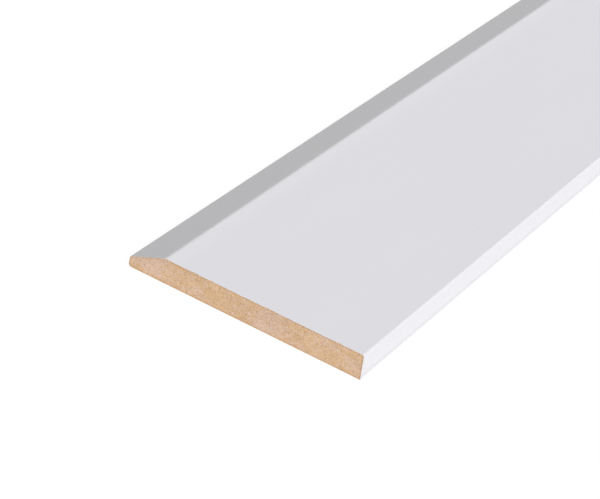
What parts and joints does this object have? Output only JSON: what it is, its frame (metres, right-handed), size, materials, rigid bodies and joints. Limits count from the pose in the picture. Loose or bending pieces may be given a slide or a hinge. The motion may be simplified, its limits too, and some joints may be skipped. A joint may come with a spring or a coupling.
{
  "type": "baseboard",
  "caption": "White primed fibreboard baseboard, flat face with one bevelled long edge and one square edge, flat back, ends sawn square and bare.",
  "frame": {"origin": "middle of the back, on the level surface that the board lies on", "axes": "+X across the board from the bevelled edge to the square edge, +Y along the length, +Z out of the face; the picture's near end is the one at -Y"},
  "size_m": [0.144, 2.4, 0.015],
  "materials": {
    "primed_fibreboard": "satin"
  },
  "bodies": {
    "root": {"baseboard": "primed_fibreboard"}
  },
  "joints": []
}
